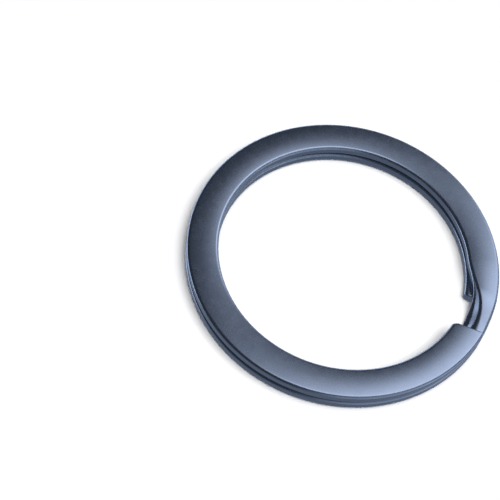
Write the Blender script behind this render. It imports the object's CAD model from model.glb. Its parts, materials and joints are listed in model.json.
"""The looks of a split key ring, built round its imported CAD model.

One strip of flattened wire is swept through both turns as a formula, and cut into pieces that
share their end sections: a rigid crossover piece, a bending piece over each hinge, and the two
free ends. Metres and radians. A place along the strip is its angle, unwrapped: it runs from
the upper free end, just short of a full turn, through the crossover at 0, to the lower free
end, as far the other way. Half a turn about X at mid-height lays one turn on the other, except
that the crossover's flank and narrowest place are off its middle and the free ends differ a bit.
"""

import json
import math

import bpy
import numpy as np
from mathutils import Matrix, Vector


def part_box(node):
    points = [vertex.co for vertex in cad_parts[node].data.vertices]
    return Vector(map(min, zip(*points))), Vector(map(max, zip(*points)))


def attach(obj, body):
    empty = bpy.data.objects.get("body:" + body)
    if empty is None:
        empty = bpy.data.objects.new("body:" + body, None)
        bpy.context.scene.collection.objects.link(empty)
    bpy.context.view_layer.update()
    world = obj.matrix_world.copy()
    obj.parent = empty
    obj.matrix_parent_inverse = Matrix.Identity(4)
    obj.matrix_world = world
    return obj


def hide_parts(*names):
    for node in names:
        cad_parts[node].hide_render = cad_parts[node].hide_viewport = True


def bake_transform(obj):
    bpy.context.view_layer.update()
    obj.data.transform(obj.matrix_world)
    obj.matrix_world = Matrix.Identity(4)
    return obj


MM = 0.001
DEGREE = math.pi / 180

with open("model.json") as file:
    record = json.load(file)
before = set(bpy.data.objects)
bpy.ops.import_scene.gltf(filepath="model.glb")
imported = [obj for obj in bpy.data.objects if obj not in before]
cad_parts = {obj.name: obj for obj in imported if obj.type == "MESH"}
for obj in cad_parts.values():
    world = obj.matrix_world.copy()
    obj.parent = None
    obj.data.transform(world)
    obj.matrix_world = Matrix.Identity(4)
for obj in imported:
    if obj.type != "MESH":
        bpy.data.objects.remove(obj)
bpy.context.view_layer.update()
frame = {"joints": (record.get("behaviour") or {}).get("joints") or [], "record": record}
record = frame["record"]

# ---- sizes, from the frame --------------------------------------------------------------

eye = next(mount for mount in record["mounts"] if mount["name"] == "eye")
EYE_RADIUS = eye["dims"]["r_mm"] * MM
RING_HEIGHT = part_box("upper_attached_arc")[1][2]
TURN_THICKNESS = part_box("lower_attached_arc")[1][2]
TURN_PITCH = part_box("upper_attached_arc")[0][2]
hinges = {j["name"]: j for j in frame["joints"]}
OUTER_RADIUS = math.hypot(*hinges["upper_turn_opens"]["pos_m"][:2])
STRIP_WIDTH = OUTER_RADIUS - EYE_RADIUS
MIDDLE_RADIUS = (OUTER_RADIUS + EYE_RADIUS) / 2


def hinge_place(joint):
    """The strip's unwrapped angle at a hinge: positive on the upper turn."""
    x, y = joint["pos_m"][:2]
    upper = joint["name"].startswith("upper")
    angle = math.atan2(y if upper else -y, x) % (2 * math.pi)
    return angle if upper else -angle


upper_hinges = sorted((j for j in hinges.values() if j["name"].startswith("upper")), key=hinge_place)
lower_hinges = sorted((j for j in hinges.values() if j["name"].startswith("lower")), key=hinge_place)
ARC = hinge_place(upper_hinges[1]) - hinge_place(upper_hinges[0])
FREE_END = hinge_place(upper_hinges[-1]) + ARC

# ---- the strip's section ----------------------------------------------------------------

CROWN = 0.10 * MM              # how much lower the flats are at their edges than in the middle
CORNER = 0.33 * MM             # radius of the edges between the flats and the walls
CROSSOVER_INSET = 0.90 * MM    # how far the crossover's inner edge stands back
CROSSOVER_HALF = 27 * DEGREE   # where the strip has its full width again
NARROW_HALF = 5.64 * DEGREE    # half of the stretch that stands back fully
NARROWEST = -2.5 * DEGREE      # the middle of the narrow stretch
SLOPE_HALF = 9.4 * DEGREE      # half of the stretch that changes level
SLOPE_SKEW = 3 * DEGREE        # how much later its outer edge comes down than its inner one
# The crossover's inner side was pressed to a flank when the wire was set: a rounded edge, a
# straight slope, then a shallower lip. Stations are degrees along the strip, then the edge's
# radius and the widths of slope and lip in millimetres.
FLANK = ((23, 0.33, 0.0, 0.0), (14, 0.33, 0.03, 0.0), (9, 0.34, 0.12, 0.04),
         (4, 0.40, 0.32, 0.16), (0, 0.50, 0.42, 0.30), (-4, 0.62, 0.42, 0.36),
         (-7, 0.95, 0.28, 0.30), (-9.5, 1.55, 0.12, 0.20), (-12, 1.80, 0.05, 0.12),
         (-18, 0.50, 0.05, 0.05), (-24, 0.33, 0.0, 0.0))
FLANK_EASING = 2.5             # degrees each way that the stations' values are averaged over
SLOPE_ANGLE = 56 * DEGREE      # of the flank's slope and lip, down from level
LIP_ANGLE = 22 * DEGREE
LIP_HOLLOW = 0.10 * MM         # radius of the hollow above the lip
LIP_CORNER = 0.15 * MM         # radius of the edge below it
FULL_FLANK = 0.20 * MM         # the slope's width from which the lip is fully formed
LEAST_WALL = 0.02 * MM         # the height that the flank leaves to the wall at least
FLANK_STEPS = {"edge": 9, "slope": 5, "hollow": 2, "lip": 3, "corner": 6}
PRESS = 0.13 * MM              # how much the crossover's outer edge was thinned from above
PRESS_START = 24 * DEGREE      # where that begins, and where it's full
PRESS_FULL = 8 * DEGREE
PRESS_FADE = 10 * DEGREE       # how long it takes to end
PRESS_END = -21 * DEGREE
END_INNER_RADIUS = 0.45 * MM   # the free end's corners, seen along the axis
END_OUTER_RADIUS = 0.25 * MM
END_EDGE_RADIUS = 0.16 * MM    # where the end face meets the flats
END_SKEW = {"upper": 2.6 * DEGREE, "lower": -1.0 * DEGREE}  # outer corner ahead of inner one
END_SKEW_LENGTH = 3 * MM       # how far back the skew reaches
END_REACH = {"upper": 0, "lower": 1.5 * DEGREE}             # the lower end was cut a bit longer
CORNER_STEPS = 10
FLAT_STEPS = 14
WALL_STEPS = 4
CROSSOVER_STEPS = 300
BEND_STEPS = 30
END_STEPS = 30
ROUNDING_STEPS = 25


def smooth_step(share):
    """From 0 to 1 with no slope at either end."""
    share = np.clip(share, 0.0, 1.0)
    return share * share * (3 - 2 * share)


def flank(place):
    """The flank's edge radius, slope width and lip width at a place, eased between stations."""
    stations = np.array(FLANK[::-1])
    around = place / DEGREE + np.linspace(-FLANK_EASING, FLANK_EASING, 11)
    return [np.interp(around, stations[:, 0], column).mean() * MM for column in stations.T[1:]]


def press(place):
    """How far the top's outer edge is pressed down at a place."""
    onset = smooth_step((PRESS_START - place) / (PRESS_START - PRESS_FULL))
    return PRESS * onset * smooth_step((place - PRESS_END) / PRESS_FADE)


def arc(radius, steps, start, end):
    """Steps across and down along an arc, as the direction turns from start to end."""
    turn = np.linspace(start, end, steps + 1)
    return np.diff(radius * np.sin(turn)), np.diff(-radius * np.cos(turn))


def straight(width, steps, angle):
    """Steps across and down along a straight line of a given width."""
    return np.full(steps, width / steps), np.full(steps, width / steps * math.tan(angle))


def inner_side(edge_radius, slope, lip):
    """Across and down from the flat's inner end to the wall: edge, slope, lip, last rounding.

    Also gives the radius of the edge below, which shrinks as the flank grows."""
    share = min(slope / FULL_FLANK, 1.0)
    lip_angle = SLOPE_ANGLE + (LIP_ANGLE - SLOPE_ANGLE) * share
    corner = CORNER + (LIP_CORNER - CORNER) * share
    parts = [
        arc(edge_radius, FLANK_STEPS["edge"], 0, SLOPE_ANGLE),
        straight(slope, FLANK_STEPS["slope"], SLOPE_ANGLE),
        arc(-LIP_HOLLOW * share, FLANK_STEPS["hollow"], SLOPE_ANGLE, lip_angle),
        straight(lip, FLANK_STEPS["lip"], lip_angle),
        arc(corner, FLANK_STEPS["corner"], lip_angle, math.pi / 2),
    ]
    across = np.concatenate([[0], np.cumsum(np.concatenate([part[0] for part in parts]))])
    down = np.concatenate([[0], np.cumsum(np.concatenate([part[1] for part in parts]))])
    down *= min(1, (TURN_THICKNESS - corner - LEAST_WALL) / down[-1])
    return across, down, corner


def section(place, inner_inset=0.0, outer_inset=0.0, edge_inset=0.0):
    """Radii and heights of the closed section at a place, from its inner wall over the top."""
    away = abs(place - NARROWEST)
    narrow = smooth_step((CROSSOVER_HALF - away) / (CROSSOVER_HALF - NARROW_HALF))
    inner = EYE_RADIUS + narrow * CROSSOVER_INSET + inner_inset
    outer = OUTER_RADIUS - outer_inset
    top = TURN_THICKNESS / 2
    across, down, low_corner = inner_side(*flank(place))
    turn = np.linspace(0, math.pi / 2, CORNER_STEPS + 1)
    corner_across, corner_down = CORNER * np.sin(turn), CORNER * (1 - np.cos(turn))
    flat = np.linspace(inner + across[-1], outer - CORNER, FLAT_STEPS + 1)[1:-1]
    low_flat = np.linspace(outer - CORNER, inner + low_corner, FLAT_STEPS + 1)[1:-1]
    wall = np.linspace(low_corner - top, top - down[-1], WALL_STEPS + 1)[1:-1]
    outer_wall = np.linspace(top - CORNER, CORNER - top, WALL_STEPS + 1)[1:-1]
    radius = np.concatenate([
        np.full(len(wall), inner), inner + (across[-1] - across)[::-1], flat,
        outer - CORNER + corner_across, np.full(len(outer_wall), outer),
        outer - CORNER + corner_across[::-1], low_flat,
        inner + low_corner * (1 - np.sin(turn)),
    ])
    height = np.concatenate([
        wall, (top - down)[::-1], np.full(len(flat), top),
        top - corner_down, outer_wall,
        corner_down[::-1] - top, np.full(len(low_flat), -top),
        low_corner * (1 - np.cos(turn)) - top,
    ])
    middle, half = (inner + outer) / 2, (outer - inner) / 2
    height -= CROWN * height / top * ((radius - middle) / half) ** 2
    pressed = np.where(height > 0, press(place), press(-place))
    height -= pressed * height / top * (radius - inner) / (outer - inner)
    height *= 1 - edge_inset / top
    later = SLOPE_SKEW * (radius - middle) / (outer - inner)
    level = TURN_PITCH * smooth_step((place + later + SLOPE_HALF) / (2 * SLOPE_HALF))
    return radius, level + top + height


def row_of_points(place, skew=0.0, **insets):
    """The section's points in the frame. skew turns its outer side further than its inner one."""
    radius, height = section(place, **insets)
    angle = place + skew * (radius - MIDDLE_RADIUS) / STRIP_WIDTH
    return np.stack([radius * np.cos(angle), radius * np.sin(angle), height], axis=1)


def corner_inset(distance, radius):
    """How far a rounded corner stands back at a distance from the end."""
    short = max(radius - distance, 0.0)
    return radius - math.sqrt(max(radius * radius - short * short, 0.0))


def free_end_rows(start, end_skew, reach):
    """Rows from a place on the upper turn to its free end, closer together as the end rounds."""
    end = FREE_END + reach
    length = (end - start) * MIDDLE_RADIUS
    before = length + 0.05 * MM    # a row that only the first row's normals need
    plain = np.linspace(length, END_INNER_RADIUS, END_STEPS)
    rounding = END_INNER_RADIUS * (1 - np.sin(np.linspace(0, math.pi / 2, ROUNDING_STEPS + 1)[1:]))
    rows = []
    for distance in [before, *plain, *rounding]:
        place = end - distance / MIDDLE_RADIUS
        skew = end_skew * float(smooth_step(1 - distance / END_SKEW_LENGTH))
        rows.append(row_of_points(
            place, skew,
            inner_inset=corner_inset(distance, END_INNER_RADIUS),
            outer_inset=corner_inset(distance, END_OUTER_RADIUS),
            edge_inset=corner_inset(distance, END_EDGE_RADIUS),
        ))
    return np.array(rows)


def row_normals(rows):
    """Normals at the rows between the first and the last, from the points around each."""
    across = np.roll(rows, -1, axis=1) - np.roll(rows, 1, axis=1)
    along = rows[2:] - rows[:-2]
    normals = np.cross(across[1:-1], along)
    return normals / np.linalg.norm(normals, axis=2, keepdims=True)


# ---- pieces -----------------------------------------------------------------------------


def strip_mesh(name, rows, normals):
    """A closed mesh through the rows, shaded by the normals, with a flat cap on each end."""
    count, around = rows.shape[:2]
    faces = []
    for i in range(count - 1):
        for j in range(around):
            k = (j + 1) % around
            faces.append((i * around + j, i * around + k, (i + 1) * around + k, (i + 1) * around + j))
    faces.append(tuple(range(around))[::-1])
    faces.append(tuple((count - 1) * around + j for j in range(around)))
    mesh = bpy.data.meshes.new(name)
    mesh.from_pydata(rows.reshape(-1, 3).tolist(), [], faces)
    mesh.polygons.foreach_set("use_smooth", [True] * len(mesh.polygons))
    flat = normals.reshape(-1, 3)
    corner_normals = [tuple(flat[loop.vertex_index]) for loop in mesh.loops]
    for polygon in list(mesh.polygons)[-2:]:
        for loop in polygon.loop_indices:
            corner_normals[loop] = tuple(polygon.normal)
    mesh.normals_split_custom_set(corner_normals)
    # Most wear is on the rounded edges, whose normals are neither upright nor level.
    wear = mesh.attributes.new("edge_wear", "FLOAT", "POINT")
    rise = np.abs(flat[:, 2])
    slanted = np.clip(1 - rise, 0, 1) * np.clip(rise * 3, 0, 1)
    wear.data.foreach_set("value", slanted.astype(np.float32))
    piece = bpy.data.objects.new(name, mesh)
    bpy.context.scene.collection.objects.link(piece)
    return piece


def strip_piece(name, start, end, steps):
    """A stretch of the strip between two places."""
    step = (end - start) / steps
    rows = np.array([row_of_points(start + step * i) for i in range(-1, steps + 2)])
    return strip_mesh(name, rows[1:-1], row_normals(rows))


def to_lower(rows):
    """Half a turn about X at mid-height, from the upper turn to the lower."""
    return rows * (1, -1, -1) + (0, 0, RING_HEIGHT)


def free_end_piece(name, start, turn):
    """The last stretch of a turn, with its cut and rounded end."""
    rows = free_end_rows(start, END_SKEW[turn], END_REACH[turn])
    if turn == "lower":
        rows = to_lower(rows)
    rows = np.concatenate([rows, rows[-1:]])
    normals = row_normals(rows)
    # The last row rounds over into the end face, so its normals all point along the strip.
    outwards = rows[-1].mean(axis=0) - rows[-12].mean(axis=0)
    normals[-1] = outwards / np.linalg.norm(outwards)
    return strip_mesh(name, rows[1:-1], normals)


def blend_over(piece):
    """The piece turns from one body to the other within half an arc each side of the hinge.

    The tree starts at the lower free end, so a joint's child is always further up the strip."""
    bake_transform(piece)


HALF_ARC = ARC / 2
crossover_top = hinge_place(upper_hinges[0]) - HALF_ARC
crossover = strip_piece("crossover_strip", -crossover_top, crossover_top, CROSSOVER_STEPS)
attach(crossover, "crossover")
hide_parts("crossover", "upper_attached_arc", "lower_attached_arc")
strip = [crossover]
for turn, joints in (("upper", upper_hinges), ("lower", lower_hinges[::-1])):
    for number, joint in enumerate(joints, start=1):
        place = hinge_place(joint)
        name = f"{turn}_turn_bend_{number}"
        piece = strip_piece(name, place - HALF_ARC, place + HALF_ARC, BEND_STEPS)
        blend_over(piece)
        node = f"{turn}_flex_arc_{number}" if number < len(joints) else f"{turn}_free_end"
        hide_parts(node)
        strip.append(piece)
    end = free_end_piece(f"{turn}_turn_end", FREE_END - HALF_ARC, turn)
    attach(end, f"{turn}_free_end")
    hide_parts(f"{turn}_free_end")
    strip.append(end)

# ---- material ---------------------------------------------------------------------------

PLATING = (0.108, 0.141, 0.211)
PLATING_MOTTLE = (0.118, 0.152, 0.223)
WORN_EDGE = (0.22, 0.25, 0.32)


def satin_gunmetal():
    """Dark blue-grey plated steel with a fine, even blasted grain, barer on its edges."""
    material = bpy.data.materials.new("satin_gunmetal")
    material.use_nodes = True
    nodes, links = material.node_tree.nodes, material.node_tree.links
    shader = nodes["Principled BSDF"]
    shader.inputs["Metallic"].default_value = 1.0
    shader.inputs["Specular Tint"].default_value = (0.85, 0.9, 1.0, 1)
    place = nodes.new("ShaderNodeTexCoord")

    def noise(scale, detail, roughness=0.5):
        """Noise with so many blotches to the metre."""
        texture = nodes.new("ShaderNodeTexNoise")
        texture.inputs["Scale"].default_value = scale
        texture.inputs["Detail"].default_value = detail
        texture.inputs["Roughness"].default_value = roughness
        links.new(place.outputs["Object"], texture.inputs["Vector"])
        return texture.outputs["Fac"]

    def remap(value, low, high):
        """Spread the noise's usual range from low to high."""
        node = nodes.new("ShaderNodeMapRange")
        node.inputs["From Min"].default_value = 0.3
        node.inputs["From Max"].default_value = 0.7
        node.inputs["To Min"].default_value = low
        node.inputs["To Max"].default_value = high
        links.new(value, node.inputs["Value"])
        return node.outputs["Result"]

    def mix_colours(share, first, second):
        node = nodes.new("ShaderNodeMix")
        node.data_type = "RGBA"
        links.new(share, node.inputs["Factor"])
        for socket, colour in (("A", first), ("B", second)):
            target = next(s for s in node.inputs if s.name == socket and s.type == "RGBA")
            if isinstance(colour, tuple):
                target.default_value = (*colour, 1)
            else:
                links.new(colour, target)
        return next(s for s in node.outputs if s.type == "RGBA")

    mottle = remap(noise(260, 3), 0.0, 1.0)
    plating = mix_colours(mottle, PLATING, PLATING_MOTTLE)
    wear = nodes.new("ShaderNodeAttribute")
    wear.attribute_name = "edge_wear"
    scuffs = nodes.new("ShaderNodeMath")
    scuffs.operation = "MULTIPLY"
    links.new(wear.outputs["Fac"], scuffs.inputs[0])
    links.new(remap(noise(900, 4, 0.6), 0.05, 0.6), scuffs.inputs[1])
    links.new(mix_colours(scuffs.outputs[0], plating, WORN_EDGE), shader.inputs["Base Color"])
    links.new(remap(noise(1500, 3), 0.25, 0.285), shader.inputs["Roughness"])
    bump = nodes.new("ShaderNodeBump")
    bump.inputs["Strength"].default_value = 0.12
    bump.inputs["Distance"].default_value = 0.00002
    links.new(noise(9000, 2), bump.inputs["Height"])
    links.new(bump.outputs["Normal"], shader.inputs["Normal"])
    return material


gunmetal = satin_gunmetal()
for piece in strip:
    piece.data.materials.append(gunmetal)

# ---- floor, light and camera ------------------------------------------------------------

CAMERA_AZIMUTH = -81.0 * DEGREE     # of the way back from the ring to the camera, from +X
CAMERA_ELEVATION = 58.56 * DEGREE
CAMERA_ROLL = 14.71 * DEGREE
CAMERA_DISTANCE = 160.84 * MM       # from the point that the camera aims at
CAMERA_AIM = Vector((-8.87, -3.85, 2.4)) * MM
CAMERA_LENS = 115.85                # for a sensor 36 mm wide
ROOM_LIGHT = 0.14
LAMP_POWER = 8.6                    # watts
WARM = (1.0, 0.94, 0.89)
PALE = (0.95, 0.97, 1.0)
COOL = (0.92, 0.96, 1.0)


def pale_floor():
    """A plain white sheet under the ring."""
    half = 1.5
    mesh = bpy.data.meshes.new("floor")
    corners = [(-half, -half, 0), (half, -half, 0), (half, half, 0), (-half, half, 0)]
    mesh.from_pydata(corners, [], [(0, 1, 2, 3)])
    floor = bpy.data.objects.new("floor", mesh)
    bpy.context.scene.collection.objects.link(floor)
    material = bpy.data.materials.new("white_paper")
    material.use_nodes = True
    shader = material.node_tree.nodes["Principled BSDF"]
    shader.inputs["Base Color"].default_value = (0.93, 0.93, 0.94, 1)
    shader.inputs["Roughness"].default_value = 0.9
    shader.inputs["Specular IOR Level"].default_value = 0.1
    mesh.materials.append(material)
    floor.visible_glossy = False


def camera():
    """The camera stands over the ring and looks past its left side, so that it's off centre."""
    data = bpy.data.cameras.new("camera")
    data.lens = CAMERA_LENS
    data.sensor_width = 36
    data.clip_start = 0.01
    data.clip_end = 10
    obj = bpy.data.objects.new("camera", data)
    bpy.context.scene.collection.objects.link(obj)
    back = Vector((
        math.cos(CAMERA_ELEVATION) * math.cos(CAMERA_AZIMUTH),
        math.cos(CAMERA_ELEVATION) * math.sin(CAMERA_AZIMUTH),
        math.sin(CAMERA_ELEVATION),
    ))
    level = Vector((0, 0, 1)).cross(back).normalized()
    upwards = back.cross(level)
    right = level * math.cos(CAMERA_ROLL) + upwards * math.sin(CAMERA_ROLL)
    axes = Matrix((right, back.cross(right), back)).transposed().to_4x4()
    obj.matrix_world = Matrix.Translation(CAMERA_AIM + back * CAMERA_DISTANCE) @ axes
    bpy.context.scene.camera = obj
    return right, back.cross(right), back


def softbox(name, direction, distance, size, power, colour):
    """A square lamp that faces the ring from a direction and isn't seen itself."""
    data = bpy.data.lights.new(name, "AREA")
    data.shape = "RECTANGLE"
    data.size, data.size_y = size
    data.energy = power
    data.color = colour
    lamp = bpy.data.objects.new(name, data)
    lamp.location = direction.normalized() * distance
    lamp.rotation_euler = direction.to_track_quat("Z", "Y").to_euler()
    lamp.visible_camera = False
    bpy.context.scene.collection.objects.link(lamp)
    return lamp


def sky(lights):
    """A dim room with lights in it, for reflections only; the lamp overhead lights the floor.

    Each light is its colour, its strength, and the limits that it fades in over: the direction
    measured along, and the cosines from that direction where it starts and where it's full."""
    world = bpy.data.worlds.new("studio")
    bpy.context.scene.world = world
    world.use_nodes = True
    world.cycles_visibility.diffuse = False
    nodes, links = world.node_tree.nodes, world.node_tree.links
    place = nodes.new("ShaderNodeTexCoord")
    total = nodes["Background"]
    total.inputs["Color"].default_value = (0.86, 0.92, 1.0, 1)
    total.inputs["Strength"].default_value = ROOM_LIGHT
    for colour, strength, limits in lights:
        share = None
        for direction, start, full in limits:
            cosine = nodes.new("ShaderNodeVectorMath")
            cosine.operation = "DOT_PRODUCT"
            cosine.inputs[1].default_value = direction
            links.new(place.outputs["Generated"], cosine.inputs[0])
            fade = nodes.new("ShaderNodeMapRange")
            fade.interpolation_type = "SMOOTHSTEP"
            fade.inputs["From Min"].default_value = start
            fade.inputs["From Max"].default_value = full
            fade.inputs["To Max"].default_value = 1 if share else strength
            links.new(cosine.outputs["Value"], fade.inputs["Value"])
            product = nodes.new("ShaderNodeMath")
            product.operation = "MULTIPLY"
            product.inputs[1].default_value = 1
            links.new(fade.outputs["Result"], product.inputs[0])
            if share:
                links.new(share, product.inputs[1])
            share = product.outputs["Value"]
        light = nodes.new("ShaderNodeBackground")
        light.inputs["Color"].default_value = (*colour, 1)
        links.new(share, light.inputs["Strength"])
        both = nodes.new("ShaderNodeAddShader")
        links.new(total.outputs[0], both.inputs[0])
        links.new(light.outputs[0], both.inputs[1])
        total = both
    links.new(total.outputs[0], nodes["World Output"].inputs["Surface"])


def studio(right, upwards, back):
    """A wide window overhead, pale bands low on each side, and the table's own glow.

    The window's edge lies where a level mirror at the ring would look from the photograph's
    viewing angle, and the window spreads from there towards that view's lower right."""
    seen = Vector((-back.x, -back.y, back.z))
    spread = Vector((right.x - upwards.x, right.y - upwards.y, 0)).normalized()
    window = (back.z * spread + Vector((0, 0, spread.dot(back)))).normalized()
    upright = Vector((0, 0, 1))
    left_back = Vector((-0.85, 0.53, 0))
    right_back = Vector((0.85, 0.53, 0))
    right_front = Vector((0.80, -0.55, 0.24))
    behind = Vector((0, 1, 0))
    sky([
        (WARM, 4.2, [(window, 0.0, 0.32), (seen, 0.58, 0.74)]),
        (PALE, 4.8, [(left_back, 0.4, 0.8), (upright, -0.52, -0.38), (-upright, 0.04, 0.20)]),
        (PALE, 1.3, [(right_back, 0.4, 0.8), (upright, -0.4, -0.1), (-upright, -0.5, -0.1)]),
        (PALE, 1.0, [(right_front, 0.6, 0.95)]),
        (COOL, 0.5, [(behind, 0.3, 0.8), (upright, 0.0, 0.1), (-upright, -0.5, -0.3)]),
        (COOL, 0.45, [(-upright, 0.0, 0.1)]),
    ])
    overhead = softbox("overhead", Vector((0.2, -0.1, 1)), 0.8, (0.6, 0.6), LAMP_POWER, (1, 1, 1))
    overhead.visible_glossy = False


pale_floor()
studio(*camera())
scene = bpy.context.scene
scene.view_settings.view_transform = "Standard"
scene.view_settings.look = "None"
